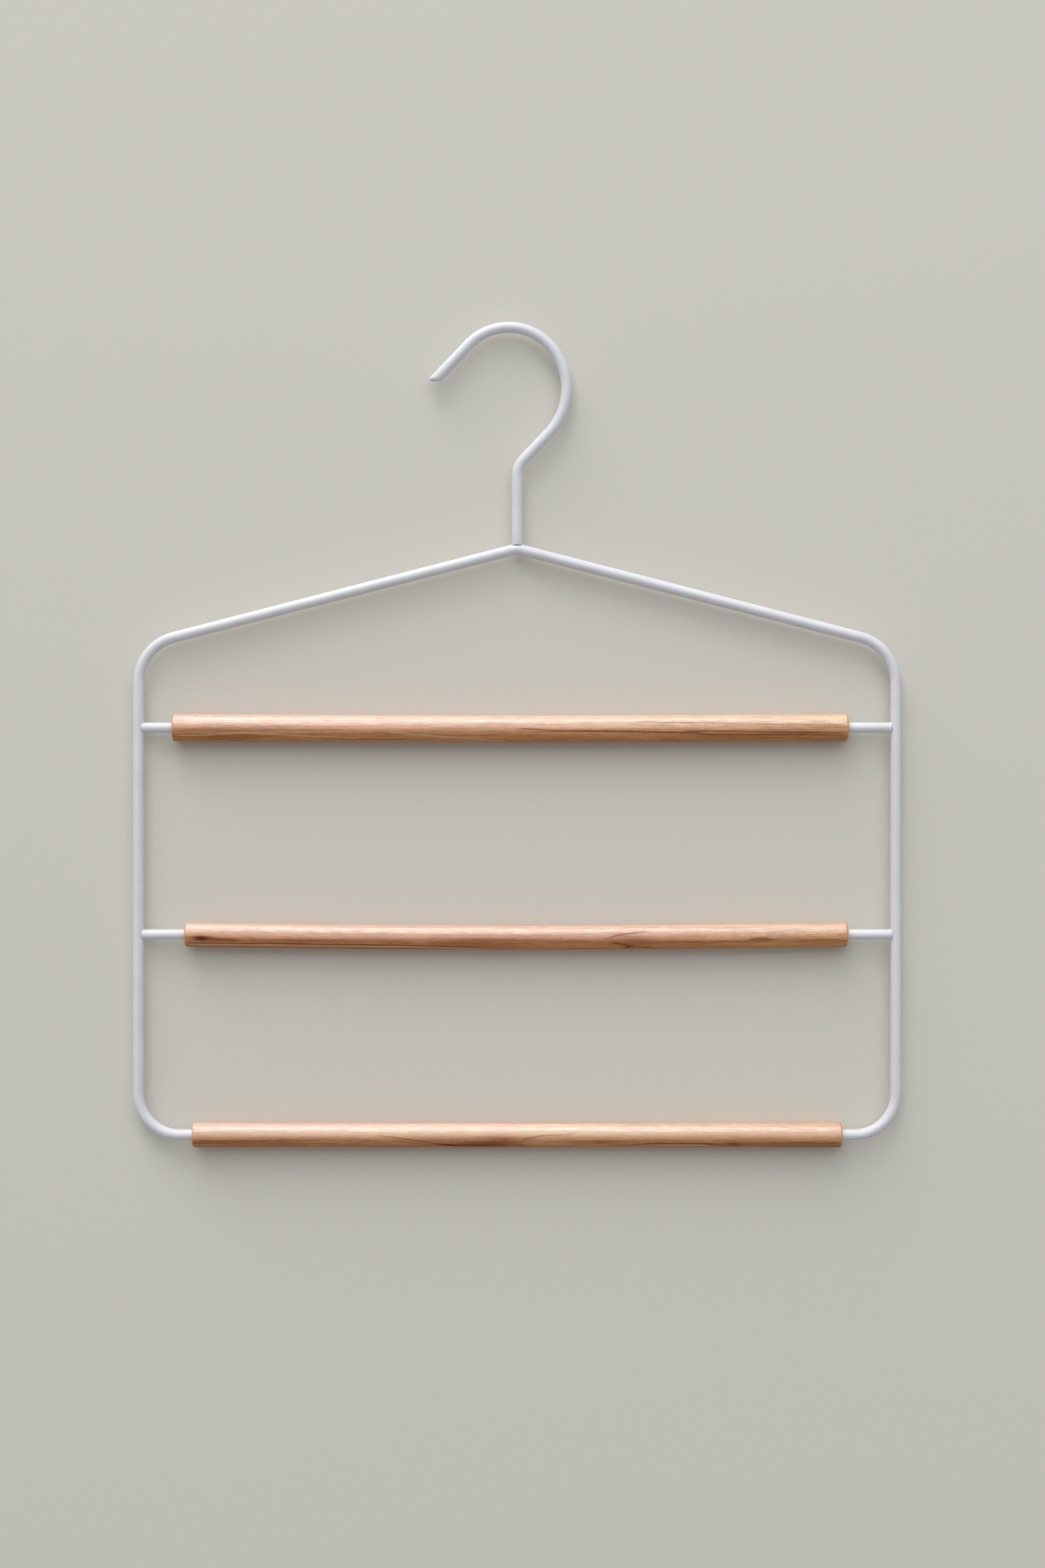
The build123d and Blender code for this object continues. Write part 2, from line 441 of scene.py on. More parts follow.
def wood_material(name, finish, spacing):
    """Sanded cedar-like heartwood.

    The growth attribute is the depth through the tree in millimetres. Its share of a ring's spacing
    draws the ring: pale earlywood that darkens slowly into a dense latewood line and stops abruptly.
    Streaks, fibres and specks, each finer than the last, run along the bar over the rings. The tint
    attribute goes from rosy to golden heartwood, and the stain attribute from pale sapwood to dark veins.
    The gloss is drawn out along the bar, and a knot or a dark vein has none.
    """
    material, tree, shader = new_material(name)
    waver = remap(tree, noise(tree, RING_WAVER, detail=3.0), 0.2, 0.8, -0.4, 0.4)
    rings = calculate(tree, "DIVIDE", calculate(tree, "ADD", attribute(tree, "growth"), waver), spacing)
    dense = add_node(tree, "ShaderNodeValToRGB", {0: calculate(tree, "FRACT", rings)})
    profile = dense.color_ramp
    for place, dark in RING_PROFILE:
        stop = profile.elements.new(place)
        stop.color = (dark, dark, dark, 1.0)
    profile.elements.remove(profile.elements[-1])
    profile.elements.remove(profile.elements[0])

    mottle = noise(tree, WOOD_MOTTLE)
    streak = noise(tree, WOOD_STREAKS, detail=4.0, roughness=0.65)
    fibre = noise(tree, WOOD_FIBRES, detail=3.0)
    speck = noise(tree, WOOD_SPECKS, detail=1.0)
    darkness = held(tree, weighted(
        tree, GRAIN_LEVEL, (dense.outputs[0], RING_WEIGHT), (mottle, MOTTLE_WEIGHT),
        (streak, STREAK_WEIGHT), (fibre, FIBRE_WEIGHT), (speck, SPECK_WEIGHT)))

    tint = weighted(tree, -0.6, (attribute(tree, "tint"), 1.0), (mottle, 1.2))
    rosy = mix_colours(tree, remap(tree, tint, 0.0, -1.0), opaque(finish.earlywood), opaque(finish.blush))
    heart = mix_colours(tree, remap(tree, tint, 0.0, 1.0), rosy, opaque(finish.gold))
    grained = mix_colours(tree, darkness, heart, opaque(finish.latewood))
    stain = weighted(tree, 0.0, (attribute(tree, "stain"), weighted(tree, 0.3, (streak, 1.4))))
    veined = mix_colours(tree, remap(tree, stain, 0.0, 1.0), grained, opaque(finish.stain))
    sapped = mix_colours(tree, remap(tree, stain, 0.0, -1.0), veined, opaque(finish.sapwood))
    knotted = mix_colours(tree, attribute(tree, "knot"), sapped, opaque(finish.knot))

    relief = calculate(tree, "MULTIPLY", calculate(tree, "ADD", fibre, streak), 0.5)
    smooth, rough = finish.wood_roughness - 0.05, finish.wood_roughness + 0.05
    around = add_node(tree, "ShaderNodeTangent", direction_type="RADIAL", axis="X")
    dulled = calculate(tree, "MAXIMUM", attribute(tree, "knot"), remap(tree, stain, 0.0, 1.0, 0.0, 0.8))
    fill_inputs(tree, shader, {
        "Base Color": knotted,
        "Roughness": remap(tree, fibre, 0.3, 0.7, smooth, rough),
        "IOR": finish.wood_ior,
        "Specular IOR Level": remap(tree, dulled, 0.0, 1.0, 0.5, 0.0),
        "Anisotropic": 0.8,
        "Tangent": around.outputs[0],
        "Normal": raised(tree, relief, finish.wood_grain, 0.8),
    })
    return material


# Pieces


def frame_bends(wire):
    """The frame's bending plan, from its right end inside the bottom dowel round to its left end."""
    radius = wire.wire_diameter / 2
    side = (FRAME_HIGH.x - FRAME_LOW.x) / 2 - radius
    corner = math.pi / 2 - wire.shoulder_angle
    shoulder_drop = side * math.tan(wire.shoulder_angle)
    shoulder_cut = wire.shoulder_bend * math.tan(corner / 2)
    apex_cut = wire.apex_bend * math.tan(wire.shoulder_angle)
    bar_low, bar_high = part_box("bottom_dowel")
    end = (bar_high.x - bar_low.x) / 2 - wire.end_insertion
    lead = side - wire.bottom_bend - end
    rise = wire.drop - shoulder_drop - wire.bottom_bend - shoulder_cut
    shoulder = side / math.cos(wire.shoulder_angle) - shoulder_cut - apex_cut
    plan = [
        (lead, math.pi / 2, wire.bottom_bend),
        (rise, corner, wire.shoulder_bend),
        (shoulder, 2 * wire.shoulder_angle, wire.apex_bend),
        (shoulder, corner, wire.shoulder_bend),
        (rise, math.pi / 2, wire.bottom_bend),
        (lead, 0.0, 0.0),
    ]
    return (CENTRE_X + end, BOTTOM_Z), plan


def apex_crest(wire):
    """Height of the top of the wire at the apex, whose bend cuts the sharp corner off."""
    apex = BOTTOM_Z + wire.drop
    return apex + wire.wire_diameter / 2 - wire.apex_bend * (1 / math.cos(wire.shoulder_angle) - 1)


def hook_bends(wire, hook):
    """The hook's bending plan, from its foot up the shank and round the bow to its tail."""
    foot_z = apex_crest(wire) - hook.foot_sink
    shank = BOTTOM_Z + wire.drop + hook.neck_rise - hook.neck_bend * math.tan(hook.neck_angle / 2) - foot_z
    plan = [
        (shank, -hook.neck_angle, hook.neck_bend),
        (hook.neck_run, hook.neck_angle + hook.join_angle, hook.side_bend),
        (0.0, math.pi - hook.neck_angle - hook.join_angle, hook.top_bend),
        (hook.tail_run, 0.0, 0.0),
    ]
    return (CENTRE_X, foot_z), plan


def level_cut_rings(tip, heading, radius, rounding, sides):
    """The tail's end, sheared off level.

    Each generator of the tube stops where it meets a level plane. While the rim rounds off, the radius
    shrinks as blunt * (1 - cos b) and the plane sinks as blunt * (1 - sin b), for b in a quarter turn, and
    then the cut face closes towards its middle. The rounding is heavier at the cut's acute corner, as
    blunt = rounding * (1 - acute * cos a).
    """
    acute = 0.4
    closing = np.array([[0.66], [0.33]])
    a = np.linspace(0, 2 * np.pi, sides, endpoint=False)[None]
    b = quarter(6)[:, None]
    blunt = rounding * (1 - acute * np.cos(a))
    radii = np.concatenate((radius - blunt * (1 - np.cos(b)), (radius - blunt) * closing))
    planes = tip[1] + np.concatenate((blunt * (1 - np.sin(b)), np.zeros((len(closing), sides))))
    across_x, across_z = -math.sin(heading), math.cos(heading)
    run = (planes - tip[1] - radii * np.cos(a) * across_z) / math.sin(heading)
    x = tip[0] + radii * np.cos(a) * across_x + run * math.cos(heading)
    z = tip[1] + radii * np.cos(a) * across_z + run * math.sin(heading)
    return np.stack((x, radii * np.sin(a), z), axis=2)


class HANGER_OT_frame_wire(Operator):
    """Bend the frame from one coated wire"""

    bl_idname = "hanger.frame_wire"
    bl_label = "Frame Wire"

    def execute(self, context):
        wire, finish = context.scene.hanger_frame, context.scene.hanger_finish
        radius = wire.wire_diameter / 2
        start, plan = frame_bends(wire)
        points, headings = bent_path(start, 0.0, plan)
        radii = np.full(len(points), radius)
        radii[[0, -1]] -= wire.end_chamfer
        points[1] = points[0] + (wire.end_chamfer, 0.0)
        points[-2] = points[-1] + (wire.end_chamfer, 0.0)
        grid = round_wire(points, headings, radii, wire.sides)
        piece = surface("frame_wire_coated", grid, coat_material(finish), "hanger_frame", "frame_wire")
        return {"FINISHED"}


class HANGER_OT_hook(Operator):
    """Bend the hook, shear its tail level and weld its foot on the apex"""

    bl_idname = "hanger.hook"
    bl_label = "Hook"

    def execute(self, context):
        scene = context.scene
        wire, hook, material = scene.hanger_frame, scene.hanger_hook, coat_material(scene.hanger_finish)
        radius = wire.wire_diameter / 2
        start, plan = hook_bends(wire, hook)
        points, headings = bent_path(start, math.pi / 2, plan)
        tip, heading = points[-1], headings[-1]
        slant = radius * abs(math.tan(heading - math.pi / 2)) + hook.tip_round
        room_for_cut = 1.5 * slant
        kept = np.hypot(*(points - tip).T) > room_for_cut
        kept[0] = False
        tube = round_wire(points[kept], headings[kept], np.full(kept.sum(), radius), wire.sides)

        b = quarter(4)[::-1]
        foot_x = np.full(len(b), start[0])
        foot = np.stack((foot_x, start[1] + hook.foot_round * (1 - np.sin(b))), axis=1)
        foot_radii = radius - hook.foot_round * (1 - np.cos(b))
        foot_rings = round_wire(foot, np.full(len(b), math.pi / 2), foot_radii, wire.sides)
        tip_rings = level_cut_rings(tip, heading, radius, hook.tip_round, wire.sides)
        grid = np.concatenate((foot_rings, tube, tip_rings))
        piece = surface("hook_coated", grid, material, "hanger_frame", "hook")
        for name, side in (("left", -1), ("right", 1)):
            self.weld_flash(f"hook_{name}_flash", side, wire, hook, material)
        return {"FINISHED"}

    def weld_flash(self, name, side, wire, hook, material):
        """A spindle of weld metal in the corner between the foot and the apex, at one side of the shank.

        Its middle line swings round the shank by the angle s = t * widest_swing, for t from -1 to 1, and
        falls from the crest with the apex bend and with part of the wire's own roundness. Its radius is
        flash * cos(t pi / 2)^taper.
        """
        widest_swing, roundness, taper = math.radians(52), 0.35, 0.8
        stations, sides = 25, 16
        radius = wire.wire_diameter / 2
        t = np.linspace(-1.0, 1.0, stations)
        s = t * widest_swing
        x = radius * np.cos(s)
        y = radius * np.sin(s)
        bend = wire.apex_bend + radius
        fall = (bend - np.sqrt(bend**2 - x**2)) + (radius - np.sqrt(radius**2 - y**2)) * roundness
        thick = hook.flash * np.cos(t * np.pi / 2) ** taper + THIN_EDGE
        a = np.linspace(0, 2 * np.pi, sides, endpoint=False)[None, :, None]
        outward = np.stack((side * np.cos(s), np.sin(s), np.zeros(stations)), axis=1)
        centres = np.stack((CENTRE_X + side * x, y, apex_crest(wire) - fall), axis=1)
        ring = np.cos(a) * outward[:, None] + np.sin(a) * np.array((0, 0, -side))
        grid = centres[:, None] + thick[:, None, None] * ring
        piece = surface(name, grid, material, "hanger_frame")


# How much further than drawn each peg's foot was pressed into its side wire, and the reach of its weld
# bead, in millimetres
PEG_WELDS = {
    "upper_left_peg": (0.25, 0.2),
    "middle_left_peg": (0.15, 0.25),
    "upper_right_peg": (-0.25, 0.5),
    "middle_right_peg": (-0.2, 0.35),
}


class HANGER_OT_pegs(Operator):
    """Make the four pegs and the weld beads that hold them to the side wires"""

    bl_idname = "hanger.pegs"
    bl_label = "Pegs"

    def execute(self, context):
        scene = context.scene
        wire, pegs, material = scene.hanger_frame, scene.hanger_pegs, coat_material(scene.hanger_finish)
        for node, (sink, reach) in PEG_WELDS.items():
            low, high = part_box(node)
            middle_z = (low.z + high.z) / 2
            foot, tip = (low.x, high.x) if "left" in node else (high.x, low.x)
            inward = math.copysign(1, tip - foot)
            foot -= inward * sink * MM
            peg = self.peg(foot, tip, middle_z, pegs, wire.sides)
            bead = self.weld_bead(foot, inward, middle_z, reach * MM, pegs, wire)
            surface(f"{node}_coated", peg, material, "hanger_frame", node)
            surface(f"{node}_weld", bead, material, "hanger_frame", closed=True)
        return {"FINISHED"}

    def peg(self, foot, tip, middle_z, pegs, sides):
        """A pin from its foot, whose rim is a quarter circle, to its chamfered tip."""
        radius, rounding, b = pegs.diameter / 2, pegs.foot_round, quarter(4)
        inward = math.copysign(1, tip - foot)
        foot_x = foot + inward * rounding * (1 - np.cos(b))
        x = np.concatenate((foot_x, (tip - inward * pegs.tip_chamfer, tip)))
        radii = np.concatenate((radius - rounding * (1 - np.sin(b)), (radius, radius - pegs.tip_chamfer)))
        return turned_bar(x, radii, np.zeros(len(x)), middle_z, sides, reverse=inward < 0)

    def weld_bead(self, foot, inward, middle_z, most, pegs, wire):
        """A hollow fillet in the corners above and below a peg, where it enters the round side wire.

        Round the peg at angle a from the front, the corner is on the wire's surface at
        sqrt(R^2 - (r cos a)^2) from the wire's middle line, or at the peg's foot where that is nearer.
        The fillet is the curve (1-t)^2 P + 2 t (1-t) S + t^2 W from P on the peg through the corner S to
        W on the wire, and it closes through the metal behind it. Its reach falls off as sin(a)^4, and
        wobbles in three and in five waves round the peg, which start elsewhere at each peg.
        """
        radius, wire_radius = pegs.diameter / 2, wire.wire_diameter / 2
        a = np.linspace(0, 2 * np.pi, wire.sides, endpoint=False)
        root = (FRAME_LOW.x + wire_radius) if inward > 0 else (FRAME_HIGH.x - wire_radius)
        shallowest = abs(foot - root)
        widest = 0.98 * wire_radius
        waves = 0.6 * np.sin(3 * a + 400 * middle_z) + 0.4 * np.sin(5 * a + 90 * root)
        wobble = 1 + pegs.bead_unevenness * waves
        reach = most * wobble * np.sin(a) ** 4 + THIN_EDGE

        def on_wire(distance):
            across = np.clip(distance * np.cos(a), -widest, widest)
            out = np.maximum(np.sqrt(wire_radius**2 - across**2), shallowest)
            return np.stack((out, across, distance * np.sin(a)), axis=1)

        corner = on_wire(np.full(wire.sides, radius))
        along = corner + reach[:, None] * np.array((1.0, 0.0, 0.0))
        wired = on_wire(radius + reach)
        t = np.linspace(0, 1, 7)[:, None, None]
        skin = (1 - t) ** 2 * along + 2 * t * (1 - t) * corner + t**2 * wired
        inside_peg, inside_wire = 0.8 * radius, np.array((0.9, 1.0, 1.0))
        buried = on_wire(np.full(wire.sides, inside_peg)) * inside_wire
        rows = np.concatenate((skin, buried[None]))
        place = np.stack((root + inward * rows[..., 0], rows[..., 1], middle_z + rows[..., 2]), axis=2)
        return place if inward < 0 else place[::-1]


class HANGER_OT_dowels(Operator):
    """Turn the three wooden dowels, each with its own grain"""

    bl_idname = "hanger.dowels"
    bl_label = "Dowels"

    def execute(self, context):
        scene = context.scene
        dowels, pegs, wire = scene.hanger_dowels, scene.hanger_pegs, scene.hanger_frame
        self.dowel("upper_dowel", dowels.upper_bow, pegs.diameter, scene)
        self.dowel("middle_dowel", dowels.middle_bow, pegs.diameter, scene)
        self.dowel("bottom_dowel", dowels.bottom_bow, wire.wire_diameter, scene)
        return {"FINISHED"}

    def dowel(self, node, bow, pin, scene):
        """One dowel: bore, eased mouth, end face, rounded rim, and a side that sags.

        The sag is bow * (1 - u^2), for u the distance from mid-length as a share of the half length. The
        bores and the end faces stay true to the axis.
        """
        dowels, finish, grain = scene.hanger_dowels, scene.hanger_finish, GRAIN[node]
        axis_z = BAR_AXIS[node][2]
        low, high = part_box(node)
        half, middle = (high.x - low.x) / 2, (high.x + low.x) / 2
        radius = (high.z - low.z) / 2
        bore = pin / 2 + dowels.bore_clearance
        b = quarter(6)
        bored = dowels.bore_depth * np.array((1.0, 0.5))
        mouth = dowels.bore_break * np.array((1.0, 0.5, 0.0))
        face = np.linspace(bore + dowels.bore_break, radius - dowels.rim_round, 9)[1:-1]
        rim = radius - dowels.rim_round * (1 - np.sin(b))
        rim_in = dowels.rim_round * (1 - np.cos(b))
        side = np.linspace(dowels.rim_round, half, round(half / MM))[1:]
        depth = np.concatenate((bored, mouth, np.zeros(len(face)), rim_in, side))
        eased = bore + dowels.bore_break - mouth
        radii = np.concatenate((np.full(len(bored), bore), eased, face, rim, np.full(len(side), radius)))
        true_rings = len(bored) + len(mouth) + len(face)
        sags = np.arange(len(depth)) >= true_rings
        u = 1 - depth / half
        drops = sags * bow * (1 - u**2)
        x = np.concatenate((middle - half + depth, (middle + half - depth)[::-1][1:]))
        radii, drops = (np.concatenate((v, v[::-1][1:])) for v in (radii, drops))
        straight = turned_bar(x, radii, np.zeros(len(x)), axis_z, dowels.sides)
        grid = turned_bar(x, radii, drops, axis_z, dowels.sides)
        material = wood_material(f"{node}_wood", finish, grain["spacing"])
        piece = surface(f"{node}_turned", grid, material, node, node)
        straight = np.concatenate((straight.reshape(-1, 3), straight[[0, -1]].mean(axis=1)))
        self.add_grain(piece, (straight - (middle, 0.0, axis_z)) / MM, grain, half / MM)

    def add_grain(self, piece, place, grain, half):
        """Stores each point's depth in the tree, tint, stain and knot, from its place in the straight bar.

        The depth is the distance in millimetres from the pith's line, which runs along X, plus a run-out
        along X and smooth swells. Swells, patches and knots are heights times
        exp(-(dx / reach)^2 - (arc / width)^2), with the arc measured round the bar. A vein is a line of
        that width along its own points, which fades out over its last few millimetres. The rims, where
        sanding broke the edge, are pale.
        """
        rim_stain, rim_width, vein_fade = -0.7, 0.45, 4
        x, radius = place[:, 0], np.hypot(place[:, 1], place[:, 2]).max()
        turn = np.degrees(np.arctan2(place[:, 2], -place[:, 1]))

        def bump(at, around, reach, width):
            arc = radius * np.radians((turn - around + 180) % 360 - 180)
            return np.exp(-(((x - at) / reach) ** 2) - (arc / width) ** 2)

        bark = math.radians(grain["bark_angle"])
        pith = -grain["pith_distance"] * np.array((-math.cos(bark), math.sin(bark)))
        growth = np.hypot(*(place[:, 1:] - pith).T) - grain["pith_distance"]
        growth += grain["run_out"] * x + grain["offset"]
        for height, *swell in grain["swells"]:
            growth += height * bump(*swell)
        stain = rim_stain * np.exp(-(((half - np.abs(x)) / rim_width) ** 2))
        for strength, *patch in grain["patches"]:
            stain += strength * bump(*patch)
        for strength, width, line in grain["veins"]:
            line_x, line_turn = np.array(line, float).T
            arc = radius * np.radians((turn - np.interp(x, line_x, line_turn) + 180) % 360 - 180)
            inside = np.clip(np.minimum(x - line_x[0], line_x[-1] - x) / vein_fade, 0, 1)
            stain += strength * inside * np.exp(-((arc / width) ** 2))
        knot = np.zeros(len(place))
        for strength, *heart in grain["knots"]:
            knot = np.maximum(knot, strength * bump(*heart))
        tint_x, tint = np.array(grain["tints"], float).T
        stored = {"growth": growth, "stain": stain, "knot": knot, "tint": np.interp(x, tint_x, tint)}
        for name, values in stored.items():
            piece.data.attributes.new(name, "FLOAT", "POINT").data.foreach_set("value", values)


# Each dowel's grain, in millimetres and degrees. Angles run from the front of the dowel upwards.
# Tints: place along the dowel, and from rosy (-1) to golden (1).
# Swells, patches and knots: strength, place along the dowel, angle, reach along the dowel, width round it.
# Veins: strength, width, and the points (place, angle) that they run through. Below nothing they are pale.
GRAIN = {
    "upper_dowel": {
        "spacing": 3.1, "bark_angle": -62, "pith_distance": 70, "run_out": 0.012, "offset": 1.2,
        "tints": ((-154, -0.1), (-40, -0.3), (40, -0.1), (90, 0.4), (155, 0.6)),
        "swells": ((1.2, -70, -40, 45, 5), (-0.8, -20, -50, 30, 5), (0.7, 90, -10, 40, 4)),
        "knots": (),
        "patches": (
            (0.20, -128, -35, 18, 2.0), (-0.15, -23, -38, 20, 1.6), (0.30, 137, -16, 14, 1.6),
            (0.15, 108, -41, 30, 2.0),
        ),
        "veins": (
            (-0.8, 0.35, ((-154, -36), (-142, -34), (-122, -21), (-67, -48))),
            (-0.6, 0.40, ((-58, -13), (-8, -56))),
            (0.9, 0.35, ((2, 1), (20, -9), (50, -13), (90, -20))),
            (0.45, 0.45, ((56, 28), (84, 23), (108, 18), (155, 12))),
            (0.7, 0.40, ((78, -10), (155, -23))),
            (0.65, 0.35, ((84, -26), (155, -33))),
            (0.4, 0.40, ((-90, -43), (-67, -53), (-50, -55))),
            (0.25, 0.60, ((-154, -12), (-133, -9), (-105, -8), (-75, -8))),
        ),
    },
    "middle_dowel": {
        "spacing": 3.4, "bark_angle": -85, "pith_distance": 55, "run_out": -0.004, "offset": 0.3,
        "tints": ((-152, -0.5), (60, -0.5), (110, 0.3), (152, 0.5)),
        "swells": ((0.9, -145, -13, 9, 3), (1.5, 48, -10, 22, 4), (0.9, 113, -20, 9, 3)),
        "knots": ((1.0, -144, -12, 1.5, 0.8), (0.8, 51, -52, 1.2, 0.6)),
        "patches": (
            (0.8, -144, -12, 4.0, 1.3), (0.35, -18, -22, 16, 2.6), (-0.35, -43, -20, 4, 1.0),
            (0.4, 53, -11, 9, 2.8), (0.5, 51, -52, 2.2, 1.0), (0.45, 112, -15, 6, 1.0),
            (0.2, 72, -29, 20, 2.5), (0.2, -102, -22, 30, 1.6),
        ),
        "veins": (
            (0.8, 0.35, ((-152, -39), (-114, -34), (-53, -39), (-16, -52))),
            (-0.7, 0.60, ((-152, -53), (-114, -46), (-53, -49), (-16, -61))),
            (0.55, 0.90, ((-150, -9), (-144, -12), (-135, -17), (-126, -18))),
            (0.7, 0.40, ((40, -7), (46, 12), (62, 34))),
            (0.7, 0.45, ((41, -17), (52, -40), (64, -59))),
            (0.75, 0.35, ((105, -16), (112, -5), (118, -13))),
            (0.5, 0.40, ((128, -19), (152, -19))),
            (0.25, 0.80, ((-65, -15), (-41, -18), (-16, -9), (8, -12), (35, -16))),
        ),
    },
    "bottom_dowel": {
        "spacing": 3.0, "bark_angle": -50, "pith_distance": 60, "run_out": 0.0, "offset": 0.6,
        "tints": ((-149, -0.1), (-60, -0.3), (-4, -0.8), (6, 0.1), (100, 0.1), (149, 0.5)),
        "swells": ((1.1, -13, -50, 26, 6), (0.9, 70, -70, 30, 4), (0.6, -95, -30, 35, 4)),
        "knots": (),
        "patches": (
            (-0.45, 10, 20, 200, 3.2), (0.9, -19, -44, 17, 2.2), (0.4, -7, -16, 9, 3.2),
            (-0.3, 9, -26, 7, 1.8), (0.3, 39, -30, 10, 2.0), (0.5, 99, -38, 4.5, 2.4),
            (0.35, 126, -51, 26, 1.8), (0.2, -124, -38, 24, 2.2),
        ),
        "veins": (
            (0.35, 0.50, ((-148, -20), (-115, -22), (-90, -18))),
            (0.8, 0.35, ((-66, 9), (-48, -16), (-26, -55))),
            (0.5, 0.40, ((-57, -19), (-26, -61))),
            (-0.6, 0.40, ((-41, -48), (-26, -68))),
            (0.9, 0.35, ((0, -35), (4, -11), (10, 3), (28, 14))),
            (0.9, 0.40, ((0, -35), (5, -62))),
            (0.8, 0.40, ((47, -55), (60, -37), (86, -37), (95, -48))),
            (-0.7, 0.55, ((64, -50), (74, -51), (89, -53))),
            (0.6, 0.50, ((57, -67), (74, -72), (91, -70))),
            (0.3, 0.50, ((102, -34), (123, -32), (148, -35))),
        ),
    },
}


# Stage


# Each lamp's place, from the middle of the hanger, its width and height, and its colour
LAMPS = {
    "window": ((-1.95, -1.61, 5.46), (6.2, 3.4), (1.0, 0.99, 0.97)),
    "window_shine": ((-1.0, -1.61, 5.7), (6.2, 3.4), (0.58, 0.84, 1.0)),
    "ceiling": ((0.2, -3.3, 2.3), (4.4, 2.8), (0.96, 0.98, 1.0)),
}
SKY_COLOUR = (0.96, 0.98, 1.0)

# Half the floor's width and half its height
FLOOR_HALVES = (0.30, 0.45)


def area_lamp(name, watts):
    """A soft rectangular lamp that faces the middle of the hanger."""
    place, (width, height), shade = LAMPS[name]
    middle = (cad_low + cad_high) / 2
    data = bpy.data.lights.new(name, "AREA")
    data.shape = "RECTANGLE"
    data.size, data.size_y = width, height
    data.energy, data.color = watts, shade
    lamp = bpy.data.objects.new(name, data)
    lamp.location = middle + Vector(place)
    lamp.rotation_mode = "QUATERNION"
    lamp.rotation_quaternion = (middle - lamp.location).to_track_quat("-Z", "Y")
    bpy.context.scene.collection.objects.link(lamp)
    return lamp


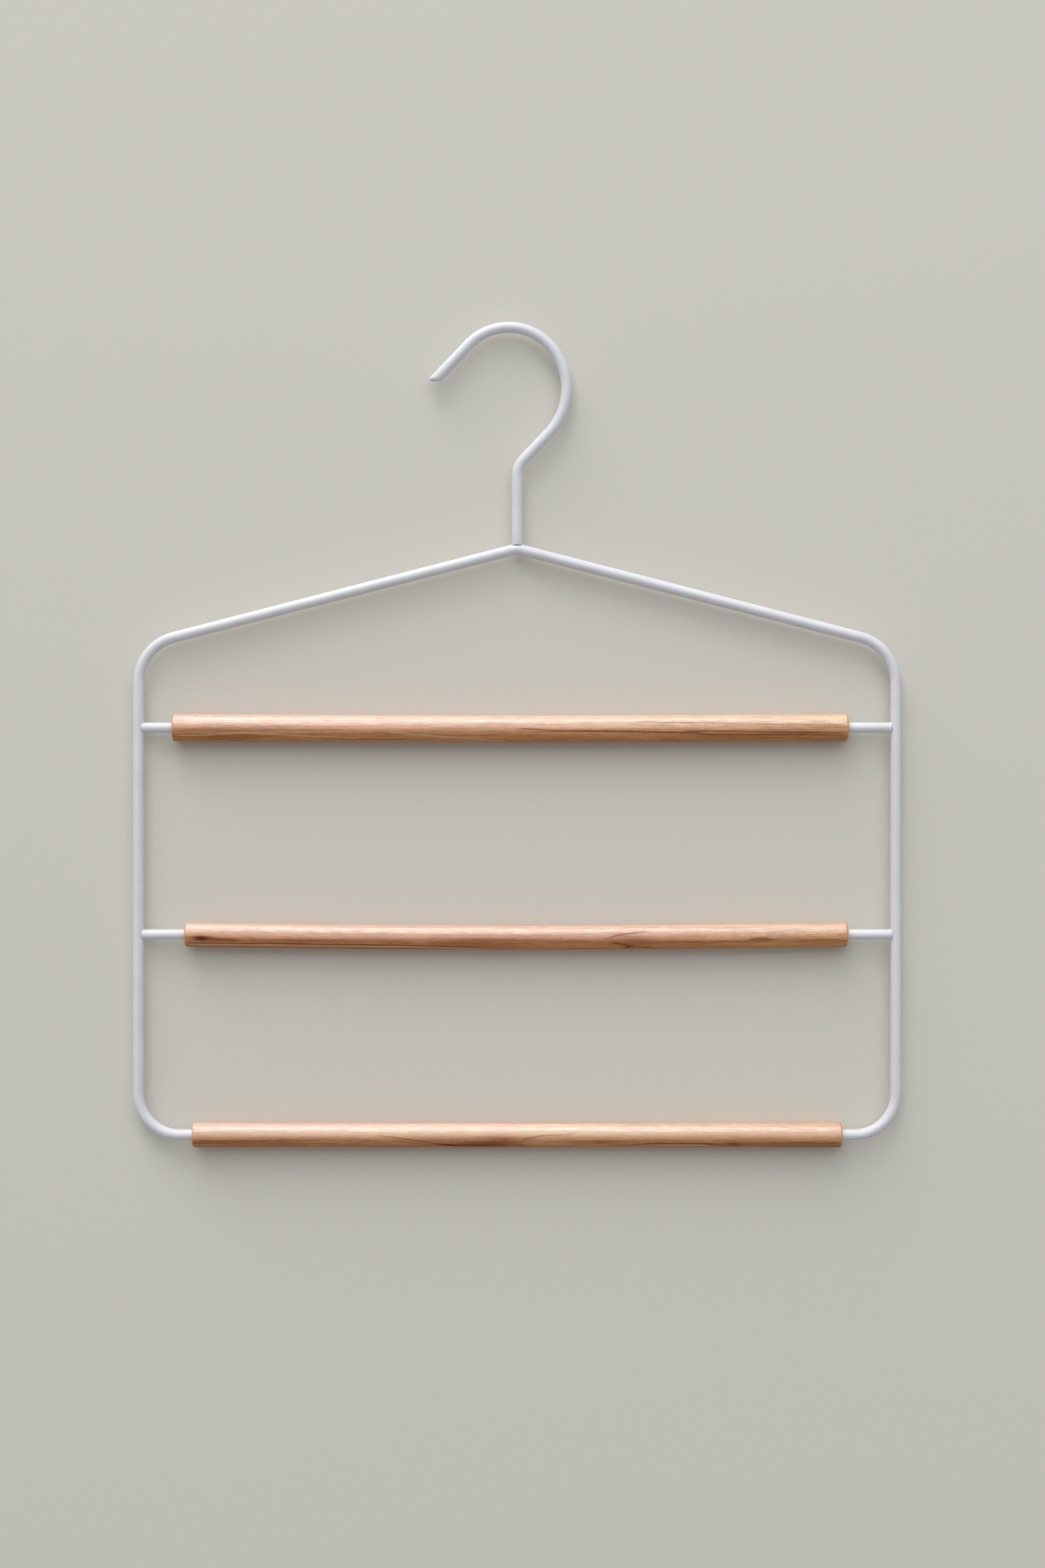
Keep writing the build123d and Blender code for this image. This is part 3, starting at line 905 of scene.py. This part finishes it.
class HANGER_OT_stage(Operator):
    """Set the plain floor, the soft lamps, the surround and the camera"""

    bl_idname = "hanger.stage"
    bl_label = "Stage"

    def execute(self, context):
        scene, stage = context.scene, context.scene.hanger_stage
        scene.view_settings.view_transform = "Standard"
        self.floor(stage)
        self.lamps(stage)
        self.surround(scene, stage)
        self.camera(scene, stage)
        return {"FINISHED"}

    def floor(self, stage):
        """A plain sheet just behind the hanger. It is open to view from its back."""
        x, z = (np.array(((-1, -1), (1, -1), (1, 1), (-1, 1))) * FLOOR_HALVES).T
        vertices = np.stack((stage.view_x + x, np.full(4, stage.floor_gap), stage.view_z + z), axis=1)
        mesh = bpy.data.meshes.new("floor")
        mesh.from_pydata(vertices, [], [(0, 1, 2, 3)])
        material, tree, shader = new_material("floor_plain")
        matt = {"Base Color": opaque(stage.floor), "Roughness": 0.9, "Specular IOR Level": 0.1}
        fill_inputs(tree, shader, matt)
        behind = add_node(tree, "ShaderNodeNewGeometry").outputs["Backfacing"]
        clear = add_node(tree, "ShaderNodeBsdfTransparent").outputs[0]
        one_sided = add_node(tree, "ShaderNodeMixShader", {0: behind, 1: shader.outputs[0], 2: clear})
        output = next(n for n in tree.nodes if n.type == "OUTPUT_MATERIAL")
        tree.links.new(one_sided.outputs[0], output.inputs["Surface"])
        mesh.materials.append(material)
        floor = bpy.data.objects.new("floor", mesh)
        bpy.context.scene.collection.objects.link(floor)

    def lamps(self, stage):
        """A wide lamp above, one beside it for the dowels' gloss alone, and a faint one in front."""
        area_lamp("window", stage.key_power)
        shine = area_lamp("window_shine", stage.shine_power)
        shine.visible_diffuse = False
        lit = bpy.data.collections.new("window_shine_lit")
        for node in BAR_AXIS:
            lit.objects.link(bpy.data.objects[f"{node}_turned"])
        shine.light_linking.receiver_collection = lit
        area_lamp("ceiling", stage.fill_power)

    def surround(self, scene, stage):
        """Light from all round, stronger from above, and a pale colour past the floor.

        The camera sees the pale colour all round. Gloss mirrors it bright above and dark below.
        """
        world = bpy.data.worlds.new("surround")
        world.use_nodes = True
        tree = world.node_tree
        tree.nodes.clear()
        rays = add_node(tree, "ShaderNodeLightPath")
        towards = add_node(tree, "ShaderNodeTexCoord").outputs["Generated"]
        height = add_node(tree, "ShaderNodeSeparateXYZ", {0: towards}).outputs["Z"]
        fall = remap(tree, height, -0.7, 0.8, stage.ground, 1.0, smooth=True)
        mirrored = remap(tree, height, 0.0, 1.0, stage.ground_shine, 1.0, smooth=True)
        glow = calculate(tree, "MULTIPLY", fall, stage.sky)
        light = add_node(tree, "ShaderNodeBackground", {"Color": opaque(SKY_COLOUR), "Strength": glow})
        pale = calculate(tree, "MAXIMUM", mirrored, rays.outputs["Is Camera Ray"])
        seen = add_node(tree, "ShaderNodeBackground", {"Color": opaque(stage.surround), "Strength": pale})
        direct = calculate(tree, "MAXIMUM", rays.outputs["Is Camera Ray"], rays.outputs["Is Glossy Ray"])
        direct = calculate(tree, "MAXIMUM", direct, rays.outputs["Is Transmission Ray"])
        chosen = add_node(tree, "ShaderNodeMixShader", {0: direct, 1: light.outputs[0], 2: seen.outputs[0]})
        add_node(tree, "ShaderNodeOutputWorld", {"Surface": chosen.outputs[0]})
        scene.world = world

    def camera(self, scene, stage):
        """A camera square to the hanger, whose sensor width is the picture's long side."""
        data = bpy.data.cameras.new("camera")
        data.lens = stage.lens
        data.sensor_width = stage.lens * stage.view_height / stage.view_distance
        camera = bpy.data.objects.new("camera", data)
        camera.location = (stage.view_x, -stage.view_distance, stage.view_z)
        camera.rotation_euler = (math.pi / 2, 0.0, 0.0)
        scene.collection.objects.link(camera)
        scene.camera = camera


class HANGER_PT_panel(Panel):
    """Sizes, colours and building steps of the hanger"""

    bl_idname = "HANGER_PT_panel"
    bl_label = "Trouser Hanger"
    bl_space_type = "VIEW_3D"
    bl_region_type = "UI"
    bl_category = "Hanger"

    def draw(self, context):
        layout = self.layout
        for operator in OPERATORS:
            layout.operator(operator.bl_idname)
        for name, group in SETTINGS.items():
            box = layout.box()
            box.label(text=group.__doc__)
            for prop in group.__annotations__:
                box.prop(getattr(context.scene, name), prop)


SETTINGS = {
    "hanger_frame": HangerFrameSettings,
    "hanger_hook": HangerHookSettings,
    "hanger_pegs": HangerPegSettings,
    "hanger_dowels": HangerDowelSettings,
    "hanger_finish": HangerFinishSettings,
    "hanger_stage": HangerStageSettings,
}
OPERATORS = (HANGER_OT_frame_wire, HANGER_OT_hook, HANGER_OT_pegs, HANGER_OT_dowels, HANGER_OT_stage)


def register():
    """Registers the settings, the operators and the panel."""
    for group in (*SETTINGS.values(), *OPERATORS, HANGER_PT_panel):
        bpy.utils.register_class(group)
    for name, group in SETTINGS.items():
        setattr(bpy.types.Scene, name, PointerProperty(type=group))


def unregister():
    """Takes the settings, the operators and the panel out again."""
    for name in SETTINGS:
        delattr(bpy.types.Scene, name)
    for group in reversed((*SETTINGS.values(), *OPERATORS, HANGER_PT_panel)):
        bpy.utils.unregister_class(group)


def main():
    """Builds the hanger, piece by piece."""
    register()
    bpy.ops.hanger.frame_wire()
    bpy.ops.hanger.hook()
    bpy.ops.hanger.pegs()
    bpy.ops.hanger.dowels()
    bpy.ops.hanger.stage()


if __name__ == "__main__":
    main()
